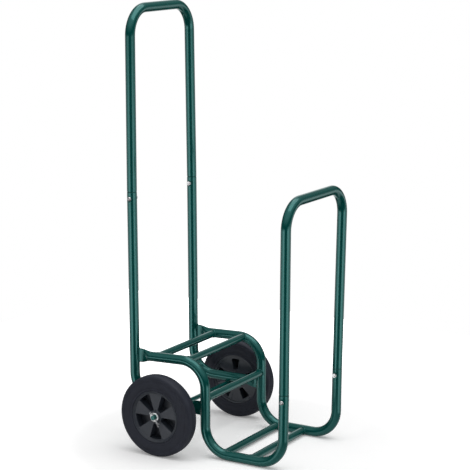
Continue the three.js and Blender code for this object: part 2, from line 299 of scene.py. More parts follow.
def settle(piece, name):
    # The piece's place goes into its mesh.
    activate(piece)
    piece.name = name
    piece.data.name = name
    bpy.ops.object.transform_apply(location=True, rotation=True, scale=True)
    return piece


def choose(piece, kind, test):
    # Selects the vertices, edges or faces that pass the test, in edit mode.
    mesh = bmesh.from_edit_mesh(piece.data)
    bpy.ops.mesh.select_mode(type=kind)
    bpy.ops.mesh.select_all(action="DESELECT")
    for element in {"VERT": mesh.verts, "EDGE": mesh.edges, "FACE": mesh.faces}[kind]:
        if test(element):
            element.select_set(True)
    mesh.select_flush_mode()
    bmesh.update_edit_mesh(piece.data)


def modify(piece, kind, **settings):
    activate(piece)
    modifier = piece.modifiers.new(kind.lower(), kind)
    for key, value in settings.items():
        setattr(modifier, key, value)
    bpy.ops.object.modifier_apply(modifier=modifier.name)


def roundEdges(piece, width, segments=2, angle=40):
    modify(
        piece, "BEVEL", width=width, segments=segments, limit_method="ANGLE",
        angle_limit=math.radians(angle), use_clamp_overlap=True,
    )


def smooth(piece, angle=35, weighted=False):
    activate(piece)
    bpy.ops.object.shade_smooth_by_angle(angle=math.radians(angle))
    if weighted:
        modify(piece, "WEIGHTED_NORMAL", weight=50, keep_sharp=True)


def cut(piece, cutter, operation="DIFFERENCE", spare=False):
    modify(piece, "BOOLEAN", operation=operation, solver="EXACT", object=cutter)
    if not spare:
        bpy.data.objects.remove(cutter)


def copied(piece, name, matrix):
    made = piece.copy()
    made.data = piece.data.copy()
    bpy.context.collection.objects.link(made)
    made.name = name
    made.data.name = name
    made.data.transform(matrix)
    return made


def joined(pieces, name):
    bpy.ops.object.select_all(action="DESELECT")
    for piece in pieces:
        piece.select_set(True)
    bpy.context.view_layer.objects.active = pieces[0]
    bpy.ops.object.join()
    pieces[0].name = name
    return pieces[0]


def aimed(heading):
    return Vector(heading).to_track_quat("Z", "Y").to_euler()


def openRing(name, centre, heading, radius, around):
    # A ring of edges square to its heading, left selected in edit mode to be drawn out.
    bpy.ops.object.select_all(action="DESELECT")
    bpy.ops.mesh.primitive_circle_add(
        vertices=around, radius=radius, location=centre, rotation=aimed(heading),
    )
    piece = settle(bpy.context.object, name)
    edit(piece)
    return piece


def drawOut(offset):
    bpy.ops.mesh.extrude_region_move(TRANSFORM_OT_translate={"value": offset})


def resize(factor, centre):
    bpy.ops.transform.resize(value=(factor, factor, factor), center_override=centre)


def closeUp(keepOpen=0):
    # Ends are filled, so that the faces can be told to point outwards. A tube's ends, of that many
    # sides, are opened again.
    bpy.ops.mesh.select_all(action="SELECT")
    bpy.ops.mesh.fill_holes(sides=0)
    bpy.ops.mesh.normals_make_consistent(inside=False)
    if keepOpen:
        bpy.ops.mesh.select_mode(type="FACE")
        bpy.ops.mesh.select_all(action="DESELECT")
        bpy.ops.mesh.select_face_by_sides(number=keepOpen, type="EQUAL")
        bpy.ops.mesh.delete(type="ONLY_FACE")
        bpy.ops.mesh.select_mode(type="VERT")
    leave()


def turnProfile(name, centre, outward, profile, around):
    # Draws a ring through (radius, reach) steps, as on a lathe. A profile that ends where it starts
    # gives a ring, and any other a solid with flat ends.
    centre = Vector(centre)
    outward = Vector(outward)
    radius, reach = profile[0]
    piece = openRing(name, centre + outward * reach, outward, radius, around)
    for nextRadius, nextReach in profile[1:]:
        drawOut(outward * (nextReach - reach))
        if abs(nextRadius - radius) > 1e-9:
            resize(nextRadius / radius, centre + outward * nextReach)
        radius, reach = nextRadius, nextReach
    bpy.ops.mesh.select_all(action="SELECT")
    bpy.ops.mesh.remove_doubles(threshold=1e-6)
    closeUp()
    return piece


def rod(centre, heading, radius, length, around=32):
    # A plain round cutter, which a cut uses up.
    bpy.ops.object.select_all(action="DESELECT")
    bpy.ops.mesh.primitive_cylinder_add(
        vertices=around, radius=radius, depth=length, location=centre, rotation=aimed(heading),
    )
    return settle(bpy.context.object, "cutter")


# ---- bent tube ----

tube = {
    "radius": boxSize("side_frame_right").y / 2,
    "wall": 1.2 * mm,
    "bend": 67 * mm,  # on the centreline
    "around": 64,
    "bendRings": 18,
    "rimRounding": 0.55 * mm,
}


def drawTube(name, corners, fromStart=(), fromEnd=(), radius=tube["radius"]):
    # Draws a ring along straight runs and bends. fromStart and fromEnd are (distance, radius) rings
    # in the first and last runs, measured from the tube's two ends.
    corners = [Vector(corner) for corner in corners]
    spot = corners[0]
    heading = (corners[1] - corners[0]).normalized()
    size = fromStart[0][1] if fromStart else radius
    piece = openRing(name, spot, heading, size, tube["around"])
    for number, corner in enumerate(corners[1:], 1):
        last = number == len(corners) - 1
        leaving = heading if last else (corners[number + 1] - corner).normalized()
        setback = tube["bend"] * math.tan(heading.angle(leaving) / 2)
        rings = []
        if number == 1:
            rings += [(corners[0] + heading * distance, wide) for distance, wide in fromStart]
        if last:
            rings += [(corner - heading * distance, wide) for distance, wide in fromEnd or [(0, radius)]]
        else:
            rings.append((corner - heading * setback, radius))
        for ringSpot, wide in rings:
            if (ringSpot - spot).length > 1e-7 or wide != size:
                drawOut(ringSpot - spot)
                resize(wide / size, ringSpot)
                spot, size = ringSpot, wide
        if not last:
            axis = heading.cross(leaving).normalized()
            centre = spot + axis.cross(heading) * tube["bend"]
            turn = heading.angle(leaving)
            bpy.ops.mesh.spin(steps=tube["bendRings"], angle=-turn, center=centre, axis=axis)
            spot = corner + leaving * setback
            heading = leaving
    return piece


def giveWall(piece):
    modify(piece, "SOLIDIFY", thickness=tube["wall"], offset=-1)
    roundEdges(piece, tube["rimRounding"], segments=3, angle=60)


# ---- places, read from the frame ----

pressed = {
    "height": 36.5 * mm,
    "thickness": 3.4 * mm,
    "flat": 8 * mm,
    "taper": 30 * mm,
    "spacing": 2 * mm,
}

screwDrop = 16 * mm  # from a joint down to its screw


class Lean:
    # The line in the side's plane that a leg and its hoop follow, up to the hoop's crown.
    def __init__(self, screwNode, hoopNode, towards):
        low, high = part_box(hoopNode)
        outermost = high.x if towards > 0 else low.x
        self.screw = boxMiddle(screwNode)
        self.crown = Vector((outermost - towards * tube["radius"], 0, high.z - tube["radius"]))
        self.tilt = math.atan2(self.crown.x - self.screw.x, self.crown.z - self.screw.z)
        self.jointZ = self.screw.z + screwDrop

    def xAt(self, z):
        return self.crown.x + (z - self.crown.z) * math.tan(self.tilt)

    def uprightZ(self, z):
        # Where a height lies once the leg is stood upright below its crown.
        return self.crown.z + (z - self.crown.z) / math.cos(self.tilt)

    def tip(self, piece):
        turn = Matrix.Rotation(self.tilt, 4, "Y")
        piece.data.transform(Matrix.Translation(self.crown) @ turn @ Matrix.Translation(-self.crown))


rearLean = Lean("handle_screw_right", "handle_hoop", -1)
frontLean = Lean("front_screw_right", "front_hoop", 1)
halfTrack = boxMiddle("side_frame_left").y
stepX = boxMiddle("step_bar").x
runnerZ = boxMiddle("floor_rear_bar").z
axleX = boxMiddle("axle").x
axleZ = boxMiddle("axle").z
axleRadius = boxSize("axle").z / 2
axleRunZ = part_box("rear_upright_right")[0].z + pressed["height"] / 2
shelfRear = boxMiddle("shelf_rear_bar")
shelfFront = boxMiddle("shelf_front_bar")
shelfSlope = (shelfFront.z - shelfRear.z) / (shelfFront.x - shelfRear.x)
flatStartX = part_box("side_frame_right")[0].x
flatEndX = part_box("rear_upright_right")[1].x


def shelfZAt(x):
    return shelfRear.z + shelfSlope * (x - shelfRear.x)


dimple = {
    "reach": 10 * mm,
    "depth": 0.7 * mm,
    "rings": 11,
    "spacing": 2 * mm,
}

screwHole = 3.2 * mm


def dimpleRings(distance, radius):
    middle = (dimple["rings"] - 1) / 2
    return [(distance + dimple["spacing"] * (i - middle), radius) for i in range(dimple["rings"])]


def pushDimples(piece, screwSpot):
    # A screw pulls the tube in a little around both of its holes.
    for vertex in piece.data.vertices:
        across, above = vertex.co.x - screwSpot.x, vertex.co.z - screwSpot.z
        away = math.hypot(across, above) / dimple["reach"]
        if away < 1:
            centre = math.copysign(halfTrack, vertex.co.y)
            outwards = math.copysign(1, vertex.co.y - centre)
            vertex.co.y -= outwards * dimple["depth"] * (1 - away * away) ** 2


def drillForScrew(piece, screwSpot):
    for side in (-1, 1):
        if any(vertex.co.y * side > 0 for vertex in piece.data.vertices):
            centre = (screwSpot.x, side * halfTrack, screwSpot.z)
            cut(piece, rod(centre, (0, 1, 0), screwHole, 4 * tube["radius"]))


def flatSection(share, side, lift=0.0):
    # A point of the pressed-flat section, from its top fold (share 0) to its bottom fold (share 1).
    # The lift carries it off the surface.
    fold = pressed["thickness"] / 2 + lift
    straight = pressed["height"] - pressed["thickness"]
    along = share * (straight + math.pi * fold)
    quarter = math.pi * fold / 2
    if along < quarter:
        angle = along / fold
        return side * fold * math.sin(angle), straight / 2 + fold * math.cos(angle)
    if along > quarter + straight:
        angle = (along - quarter - straight) / fold
        return side * fold * math.cos(angle), -straight / 2 - fold * math.sin(angle)
    return side * fold, straight / 2 - (along - quarter)


def pressFlat(piece, edgeX, edgeZ, towards, slope=0.0):
    # Presses a tube's end flat, from its upright edge to where it is round again.
    for vertex in piece.data.vertices:
        inward = (vertex.co.x - edgeX) * towards
        z = edgeZ + slope * (vertex.co.x - edgeX)
        if inward < pressed["flat"] + pressed["taper"] and abs(vertex.co.z - z) < 2 * tube["radius"]:
            centre = math.copysign(halfTrack, vertex.co.y)
            y, up = vertex.co.y - centre, vertex.co.z - z
            share = math.atan2(abs(y), up) / math.pi
            flatY, flatUp = flatSection(share, math.copysign(1, y))
            t = min(max((inward - pressed["flat"]) / pressed["taper"], 0), 1)
            rounded = t * t * (3 - 2 * t)
            vertex.co.x += slope * up * (1 - rounded)
            vertex.co.y = centre + flatY + (y - flatY) * rounded
            vertex.co.z = z + flatUp + (up - flatUp) * rounded


def flatRings():
    count = round((pressed["flat"] + pressed["taper"]) / pressed["spacing"])
    return [(pressed["spacing"] * i, tube["radius"]) for i in range(count + 1)]


# ---- hoops ----

spigot = {
    "radius": 10.9 * mm,
    "length": 36 * mm,
    "gap": 0.8 * mm,  # between the two tubes of a joint
    "shoulder": 1.5 * mm,
}

hoopSplay = {  # how far each leg stands outwards at its top
    "handle_hoop": -4.5 * mm,
    "front_hoop": 6.5 * mm,
}


def makeHoop(name, node, lean):
    # One tube, narrowed at both ends into spigots that are drilled for their screws. It is drawn
    # upright below its crown, then tipped.
    x, crown = lean.crown.x, lean.crown.z
    foot = lean.uprightZ(lean.jointZ) + spigot["gap"]
    bottom = foot - spigot["gap"] - spigot["length"]
    step = foot - bottom
    shoulder = spigot["shoulder"]
    toScrew = lean.uprightZ(lean.screw.z) - bottom
    fromStart = [(0, spigot["radius"])] + dimpleRings(toScrew, spigot["radius"]) + [
        (step, spigot["radius"]),
        (step, tube["radius"] - shoulder),
        (step + 0.3 * shoulder, tube["radius"] - 0.3 * shoulder),
        (step + shoulder, tube["radius"]),
    ]
    corners = [
        (x, -halfTrack, bottom), (x, -halfTrack, crown), (x, halfTrack, crown), (x, halfTrack, bottom),
    ]
    piece = drawTube(name, corners, fromStart, list(reversed(fromStart)))
    closeUp(keepOpen=tube["around"])
    for vertex in piece.data.vertices:
        rise = max((vertex.co.z - foot) / (crown - foot), 0)
        side = max(-1, min(1, vertex.co.y / (halfTrack / 2)))
        vertex.co.y += side * hoopSplay[node] * rise
    lean.tip(piece)
    pushDimples(piece, lean.screw)
    giveWall(piece)
    drillForScrew(piece, lean.screw)
    smooth(piece, weighted=True)
    keep(piece, "frame", "green_paint", node)


makeHoop("handleHoop", "handle_hoop", rearLean)
makeHoop("frontHoop", "front_hoop", frontLean)
print("hoops made")


# ---- side frames and rear uprights ----

sideFrameCorners = [
    (flatStartX, shelfZAt(flatStartX)),
    (stepX, shelfZAt(stepX)),
    (stepX, runnerZ),
    (frontLean.xAt(runnerZ), runnerZ),
    (frontLean.xAt(frontLean.jointZ), frontLean.jointZ),
]
rearUprightCorners = [
    (rearLean.xAt(rearLean.jointZ), rearLean.jointZ),
    (rearLean.xAt(axleRunZ), axleRunZ),
    (flatEndX, axleRunZ),
]
acrossCart = Matrix.Translation((0, 2 * halfTrack, 0))


def atSide(corners, side):
    return [(x, side * halfTrack, z) for x, z in corners]


def jointRings():
    return [(0, tube["radius"])] + dimpleRings(screwDrop, tube["radius"])


def makeSideFrames():
    piece = drawTube("sideFrameRight", atSide(sideFrameCorners, -1), flatRings(), jointRings()[::-1])
    closeUp(keepOpen=tube["around"])
    pressFlat(piece, *sideFrameCorners[0], towards=1, slope=shelfSlope)
    pushDimples(piece, frontLean.screw)
    giveWall(piece)
    drillForScrew(piece, frontLean.screw)
    smooth(piece, weighted=True)
    keep(copied(piece, "sideFrameLeft", acrossCart), "frame", "green_paint", "side_frame_left")
    keep(piece, "frame", "green_paint", "side_frame_right")


def makeRearUprights():
    piece = drawTube("rearUprightRight", atSide(rearUprightCorners, -1), jointRings(), flatRings()[::-1])
    closeUp(keepOpen=tube["around"])
    pressFlat(piece, *rearUprightCorners[-1], towards=-1)
    pushDimples(piece, rearLean.screw)
    giveWall(piece)
    drillForScrew(piece, rearLean.screw)
    smooth(piece, weighted=True)
    keep(copied(piece, "rearUprightLeft", acrossCart), "frame", "green_paint", "rear_upright_left")
    keep(piece, "frame", "green_paint", "rear_upright_right")


makeSideFrames()
makeRearUprights()
print("side tubes made")


# ---- cross bars ----

bar = {
    "radius": boxSize("shelf_rear_bar").x / 2,
    "around": 48,
    "clearance": 0.15 * mm,  # between a bar's coped end and the side frame
}

bars = {
    "shelfRearBar": "shelf_rear_bar",
    "shelfFrontBar": "shelf_front_bar",
    "stepBar": "step_bar",
    "floorRearBar": "floor_rear_bar",
    "floorFrontBar": "floor_front_bar",
}


def makeBars():
    copers = []
    for side in (-1, 1):
        wide = tube["radius"] + bar["clearance"]
        copers.append(drawTube("coper", atSide(sideFrameCorners, side), radius=wide))
        closeUp()
    for name, node in bars.items():
        middle = boxMiddle(node)
        length = 2 * halfTrack - tube["radius"]
        piece = rod((middle.x, 0, middle.z), (0, 1, 0), bar["radius"], length, bar["around"])
        for coper in copers:
            cut(piece, coper, spare=True)
        smooth(piece)
        piece.name = name
        piece.data.name = name
        keep(piece, "frame", "green_paint", node)
    for coper in copers:
        bpy.data.objects.remove(coper)


makeBars()
print("cross bars made")


# ---- welds ----

weld = {
    "bead": 1.8 * mm,
    "lift": 0.5 * mm,  # the bead's middle stands this far off both tubes
    "ripple": 0.16,
    "pitch": 1.9 * mm,  # from one ripple to the next
    "stepsPerRipple": 5,
    "acrossRod": 4.6 * mm,  # half the size of the bead between an axle run and the axle rod
    "alongRod": 6.4 * mm,
}


def centreline(corners):
    # Points along a bent tube's middle, close together in its bends.
    points = [Vector((corners[0][0], 0, corners[0][1]))]
    for before, corner, after in zip(corners, corners[1:], corners[2:]):
        arriving = Vector((corner[0] - before[0], 0, corner[1] - before[1])).normalized()
        leaving = Vector((after[0] - corner[0], 0, after[1] - corner[1])).normalized()
        turn = arriving.angle(leaving)
        inwards = (leaving - arriving * arriving.dot(leaving)).normalized()
        start = Vector((corner[0], 0, corner[1])) - arriving * tube["bend"] * math.tan(turn / 2)
        for i in range(31):
            angle = turn * i / 30
            step = arriving * math.sin(angle) + inwards * (1 - math.cos(angle))
            points.append(start + tube["bend"] * step)
    points.append(Vector((corners[-1][0], 0, corners[-1][1])))
    return points


def offLine(points, x, z):
    # The distance from a place in the side's plane to the tube's middle.
    spot = Vector((x, 0, z))
    nearest = math.inf
    for start, end in zip(points, points[1:]):
        foot, share = intersect_point_line(spot, start, end)
        foot = start.lerp(end, min(max(share, 0), 1))
        nearest = min(nearest, (foot - spot).length)
    return nearest


def layBead(name, route):
    # A closed weld bead along route(share), with the ripples of its passes.
    sample = [Vector(route(i / 90)) for i in range(91)]
    length = sum((b - a).length for a, b in zip(sample, sample[1:]))
    ripples = round(length / weld["pitch"])
    count = ripples * weld["stepsPerRipple"]
    curve = bpy.data.curves.new(name, "CURVE")
    curve.dimensions = "3D"
    curve.bevel_depth = weld["bead"]
    curve.bevel_resolution = 3
    spline = curve.splines.new("POLY")
    spline.points.add(count - 1)
    spline.use_cyclic_u = True
    for i, point in enumerate(spline.points):
        point.co = (*route(i / count), 1)
        point.radius = 1 + weld["ripple"] * (abs(math.sin(math.pi * i / weld["stepsPerRipple"])) - 0.6)
    piece = bpy.data.objects.new(name, curve)
    bpy.context.collection.objects.link(piece)
    activate(piece)
    bpy.ops.object.convert(target="MESH")
    piece = bpy.context.object
    edit(piece)
    bpy.ops.mesh.normals_make_consistent(inside=False)
    leave()
    smooth(piece, angle=60)
    keep(piece, "frame", "green_paint")


def makeWelds():
    line = centreline(sideFrameCorners)
    around = tube["radius"] + weld["lift"]
    for word, side in (("Right", -1), ("Left", 1)):
        for name, node in bars.items():
            middle = boxMiddle(node)
            ringRadius = bar["radius"] + weld["lift"]

            def barRoute(share):
                x = middle.x + ringRadius * math.cos(2 * math.pi * share)
                z = middle.z + ringRadius * math.sin(2 * math.pi * share)
                inset = math.sqrt(max(around ** 2 - offLine(line, x, z) ** 2, 0))
                return x, side * (halfTrack - inset), z

            layBead(f"{name}Weld{word}", barRoute)
        for name, towards, z in (("shelfEnd", 1, shelfZAt(flatStartX)), ("axleRunEnd", -1, axleRunZ)):
            def flatRoute(share):
                half = 1 if share < 0.5 else -1
                down = 2 * share if share < 0.5 else 2 - 2 * share
                y, up = flatSection(down, half, weld["lift"])
                tubeX = rearLean.xAt(z + up) if towards > 0 else stepX
                return tubeX + towards * math.sqrt(around ** 2 - y ** 2), side * halfTrack + y, z + up

            layBead(f"{name}Weld{word}", flatRoute)

        def rodRoute(share):
            x = weld["acrossRod"] * math.cos(2 * math.pi * share)
            y = weld["alongRod"] * math.sin(2 * math.pi * share)
            under = axleRunZ - math.sqrt(tube["radius"] ** 2 - y ** 2)
            over = axleZ + math.sqrt(axleRadius ** 2 - x ** 2)
            return axleX + x, side * halfTrack + y, (under + over) / 2

        layBead(f"axleRodWeld{word}", rodRoute)


makeWelds()
print("welds laid")


# ---- axle, spacers and washers ----

axle = {
    "radius": axleRadius,
    "chamfer": 0.9 * mm,
    "pinHole": 2.1 * mm,
    "around": 48,
}

pinLean = {"Right": 130, "Left": 52}  # degrees from +X towards +Z to each split pin's eye
turnAbout = (
    Matrix.Translation((axleX, 0, 0)) @ Matrix.Rotation(math.pi, 4, "Z") @ Matrix.Translation((-axleX, 0, 0))
)


def ringProfile(inner, outer, start, end, rounding):
    # A washer's section, with its edges rounded by a point at 0.3 of the rounding.
    nearly = 0.3 * rounding
    return [
        (inner, start + rounding), (inner + rounding, start),
        (outer - rounding, start), (outer - nearly, start + nearly), (outer, start + rounding),
        (outer, end - rounding), (outer - nearly, end - nearly), (outer - rounding, end),
        (inner + rounding, end), (inner, end - rounding),
        (inner, start + rounding),
    ]


def pinSpot(word):
    return boxMiddle(f"split_pin_{word.lower()}").y


def pinHeading(word):
    angle = math.radians(pinLean[word])
    return Vector((math.cos(angle), 0, math.sin(angle)))


def makeAxle():
    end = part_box("axle")[1].y
    chamfer = axle["chamfer"]
    piece = turnProfile("axleRod", (axleX, 0, axleZ), (0, 1, 0), [
        (axle["radius"] - chamfer, -end), (axle["radius"], chamfer - end),
        (axle["radius"], end - chamfer), (axle["radius"] - chamfer, end),
    ], axle["around"])
    for word in pinLean:
        cut(piece, rod((axleX, pinSpot(word), axleZ), pinHeading(word), axle["pinHole"], 5 * axle["radius"]))
    smooth(piece, weighted=True)
    keep(piece, "frame", "green_paint", "axle")


def makeAxleRings():
    bore = axle["radius"] + 0.2 * mm
    for name, node, rounding in (
        ("axleSpacer", "axle_spacer", 0.6 * mm),
        ("innerWasher", "inner_washer", 0.5 * mm),
        ("outerWasher", "outer_washer", 0.5 * mm),
    ):
        start, end = reachOf(f"{node}_right")
        outer = boxSize(f"{node}_right").z / 2
        piece = turnProfile(
            f"{name}Right", (axleX, 0, axleZ), (0, -1, 0), ringProfile(bore, outer, start, end, rounding), 64,
        )
        smooth(piece, angle=50)
        keep(copied(piece, f"{name}Left", turnAbout), "frame", "zinc_plate", f"{node}_left")
        keep(piece, "frame", "zinc_plate", f"{node}_right")


makeAxle()
makeAxleRings()
print("axle made")


# ---- split pins ----

splitPin = {
    "wire": 1.85 * mm,  # radius of the two half-round wires laid together
    "parting": 0.1 * mm,  # from the pin's middle to each wire's flat side
    "bend": 2.4 * mm,
    "around": 24,
    "steps": 8,
}


def pinRoute():
    # From one open tip, along its wire, round the eye and back to the other tip.
    near = splitPin["parting"]
    return [Vector((x * mm, 0, z * mm + math.copysign(near, z))) for x, z in (
        (-26, 4.2), (-9, 0.01), (7.2, 0.01), (10.5, 2.4), (16.5, 2.4),
        (16.5, -2.4), (10.5, -2.4), (7.2, -0.01), (-9, -0.01), (-22, -3.6),
    )]


def makeSplitPin(word):
    corners = pinRoute()
    heading = (corners[1] - corners[0]).normalized()
    piece = openRing(f"splitPin{word}", corners[0], heading, splitPin["wire"], splitPin["around"])
    outwards = Vector((0, 1, 0)).cross(heading)  # from the wire's flat side to its round side
    bpy.ops.mesh.bisect(plane_co=corners[0], plane_no=-outwards, clear_outer=True)
    bpy.ops.mesh.select_all(action="DESELECT")
    choose(piece, "VERT", lambda v: abs((v.co - corners[0]).dot(outwards)) < 1e-6)
    bpy.ops.mesh.edge_face_add()
    bpy.ops.mesh.select_all(action="SELECT")
    spot = corners[0]
    for corner, after in zip(corners[1:], corners[2:] + [None]):
        leaving = (after - corner).normalized() if after else heading
        turn = heading.angle(leaving)
        bend = splitPin["bend"]
        setback = bend * math.tan(turn / 2)
        drawOut(corner - heading * setback - spot)
        spot = corner - heading * setback
        if after:
            axis = heading.cross(leaving).normalized()
            centre = spot + axis.cross(heading) * bend
            bpy.ops.mesh.spin(steps=splitPin["steps"], angle=-turn, center=centre, axis=axis)
            spot = corner + leaving * setback
            heading = leaving
    closeUp()
    angle = -math.radians(pinLean[word])
    piece.data.transform(Matrix.Translation((axleX, pinSpot(word), axleZ)) @ Matrix.Rotation(angle, 4, "Y"))
    roundEdges(piece, 0.2 * mm, segments=2, angle=50)
    smooth(piece, angle=50)
    keep(piece, "frame", "zinc_plate", f"split_pin_{word.lower()}")


for word in pinLean:
    makeSplitPin(word)
print("split pins bent")


# ---- screws and nuts of the four joints ----

screw = {
    "radius": 3 * mm,
    "pitch": 1 * mm,
    "threadDepth": 0.5 * mm,
    "threads": 6,
    "chamfer": 0.4 * mm,
    "sink": 0.55 * mm,  # pulled down into its dimple
    "head": 5.6 * mm,
    "headEdge": 1.1 * mm,
    "recess": 6.4 * mm,  # across the cross recess
    "slot": 2.1 * mm,
    "recessDepth": 2.2 * mm,
    "recessTaper": 0.45,  # its width at the bottom, as a share of its width at the top
}

nut = {
    "across": 10 * mm,
    "chamfer": 0.8 * mm,
    "clearance": 0.1 * mm,
}


def screwProfile(tip, top):
    radius, head, chamfer = screw["radius"], screw["head"], screw["chamfer"]
    core = radius - screw["threadDepth"]
    seat = tube["radius"] - screw["sink"]
    edge = seat + screw["headEdge"]
    profile = [(core - chamfer, tip), (core, tip + chamfer)]
    for i in range(screw["threads"]):
        start = tip + chamfer + screw["pitch"] * i
        profile += [(radius, start + 0.5 * screw["pitch"]), (core, start + screw["pitch"])]
    profile += [(radius, profile[-1][1] + 0.5 * screw["pitch"]), (radius, seat), (head - chamfer, seat)]
    profile += [(head, seat + chamfer), (head, edge)]
    for i in range(1, 9):  # the head's dome
        angle = math.pi / 2 * i / 9
        profile.append((head * math.cos(angle) ** 0.8, edge + (top - edge) * math.sin(angle)))
    return profile


def makeRecess(centre, top, outward):
    arms = []
    for turn in (0, math.pi / 2):
        bpy.ops.object.select_all(action="DESELECT")
        bpy.ops.mesh.primitive_cube_add(size=1)
        arm = bpy.context.object
        arm.scale = (screw["recess"], 2 * screw["recessDepth"], screw["slot"])
        arm.rotation_euler = (0, turn + math.pi / 4, 0)
        arm.location = Vector(centre) + Vector(outward) * top
        arms.append(settle(arm, "arm"))
    cut(arms[0], arms[1], operation="UNION")
    edit(arms[0])
    bottom = top - screw["recessDepth"]
    choose(arms[0], "VERT", lambda v: (v.co - Vector(centre)).dot(Vector(outward)) < bottom + 1e-5)
    resize(screw["recessTaper"], Vector(centre) + Vector(outward) * bottom)
    leave()
    return arms[0]


def makeJointScrew(name, node, nutName, nutNode, lean):
    outward = Vector((0, -1, 0))
    x = lean.screw.x
    centre = Vector((x, 0, lean.screw.z))
    tip, top = reachOf(f"{node}_right")
    fromTube = screwProfile(tip - halfTrack, top - halfTrack)
    profile = [(radius, reach + halfTrack) for radius, reach in fromTube]
    piece = turnProfile(f"{name}Right", centre, outward, profile, 48)
    cut(piece, makeRecess(centre, top, outward))
    smooth(piece, angle=40, weighted=True)
    over = Matrix.Translation((x, 0, 0)) @ Matrix.Rotation(math.pi, 4, "Z") @ Matrix.Translation((-x, 0, 0))
    keep(copied(piece, f"{name}Left", over), "frame", "zinc_plate", f"{node}_left")
    keep(piece, "frame", "zinc_plate", f"{node}_right")

    start, end = reachOf(f"{nutNode}_right")
    corner = nut["across"] / 2 / math.cos(math.pi / 6)
    middle = centre + outward * (start + end) / 2
    flat = nut["across"] / 2 - nut["clearance"]
    piece = rod(middle, outward, corner, end - start, around=6)
    cone = turnProfile("cone", centre, outward, [
        (flat, start), (corner + 0.3 * mm, start + nut["chamfer"]),
        (corner + 0.3 * mm, end - nut["chamfer"]), (flat, end),
    ], 48)
    cut(piece, cone, operation="INTERSECT")
    cut(piece, rod(middle, outward, screw["radius"] + nut["clearance"], 2 * (end - start)))
    smooth(piece, angle=30, weighted=True)
    piece.name = f"{nutName}Right"
    keep(copied(piece, f"{nutName}Left", over), "frame", "zinc_plate", f"{nutNode}_left")
    keep(piece, "frame", "zinc_plate", f"{nutNode}_right")


makeJointScrew("handleScrew", "handle_screw", "handleNut", "handle_nut", rearLean)
makeJointScrew("frontScrew", "front_screw", "frontNut", "front_nut", frontLean)
print("joint screws made")


# ---- wheels ----

wheel = {
    "centre": boxMiddle("tyre_right").y,
    "half": boxSize("tyre_right").y / 2,
    "around": 160,
    "spokes": 5,
}

tyre = {
    "radius": boxSize("tyre_right").z / 2,
    "seat": 67 * mm,
    "shoulder": 9 * mm,
    "crown": 0.6 * mm,
    "treadGrooves": (2.2 * mm, 6.4 * mm),  # from the middle of the tread, on both sides
    "grooveHalf": 0.55 * mm,
    "grooveDepth": 0.5 * mm,
    "wallLines": (73 * mm, 91 * mm),  # radii of the fine lines moulded in the sidewall
    "lineHalf": 0.5 * mm,
    "lineDepth": 0.35 * mm,
}

rim = {
    "bore": axle["radius"] + 0.25 * mm,
    "hub": 14.5 * mm,
    "hubInset": 26 * mm,
    "hubOutset": 18.1 * mm,
    "band": 66.8 * mm,
    "bandInner": 61.3 * mm,
    "spokeFace": 13.5 * mm,
    "webBack": -14 * mm,
    "webFront": -11 * mm,
    "windowInner": 17 * mm,
    "windowOuter": 59 * mm,
    "windowHalfAngle": 18,  # degrees
    "hollowInner": 27 * mm,
    "hollowOuter": 57 * mm,
    "hollowHalfAngle": 12.3,
    "hollowFront": 10.5 * mm,
    "cornerRounding": 1.4 * mm,  # in the windows and hollows
    "overcut": 5 * mm,
    "edgeRounding": 0.55 * mm,
}


def makeTyre():
    half, seat = wheel["half"], tyre["seat"]
    profile = [
        (seat, half - 3 * mm), (seat, half - 1.4 * mm), (seat + 0.3 * mm, half - 0.6 * mm),
        (seat + 1 * mm, half - 0.15 * mm), (seat + 1.8 * mm, half),
    ]
    wide, narrow = 2 * tyre["lineHalf"], 0.4 * tyre["lineHalf"]
    for radius in tyre["wallLines"]:
        profile += [
            (radius - wide, half), (radius - narrow, half - tyre["lineDepth"]),
            (radius + narrow, half - tyre["lineDepth"]), (radius + wide, half),
        ]
    arcSteps = 10
    for i in range(arcSteps + 1):
        angle = math.pi / 2 * i / arcSteps
        profile.append((
            tyre["radius"] - tyre["crown"] - tyre["shoulder"] * (1 - math.sin(angle)),
            half - tyre["shoulder"] * (1 - math.cos(angle)),
        ))
    tread = half - tyre["shoulder"]
    for place in tyre["treadGrooves"][::-1]:
        top = tyre["radius"] - tyre["crown"] * (place / tread) ** 2
        profile += [
            (top, place + 1.8 * tyre["grooveHalf"]), (top - tyre["grooveDepth"], place + tyre["grooveHalf"]),
            (top - tyre["grooveDepth"], place - tyre["grooveHalf"]), (top, place - 1.8 * tyre["grooveHalf"]),
        ]
    profile.append((tyre["radius"], 0))
    inner = [(radius, -reach) for radius, reach in profile[-2::-1]]
    loop = profile + inner + [profile[0]]
    centre = (axleX, wheel["centre"], axleZ)
    piece = turnProfile("tyreRight", centre, (0, -1, 0), loop, wheel["around"])
    smooth(piece, angle=45)
    keep(copied(piece, "tyreLeft", turnAbout), "wheel_left", "black_rubber", "tyre_left")
    keep(piece, "wheel_right", "black_rubber", "tyre_right")


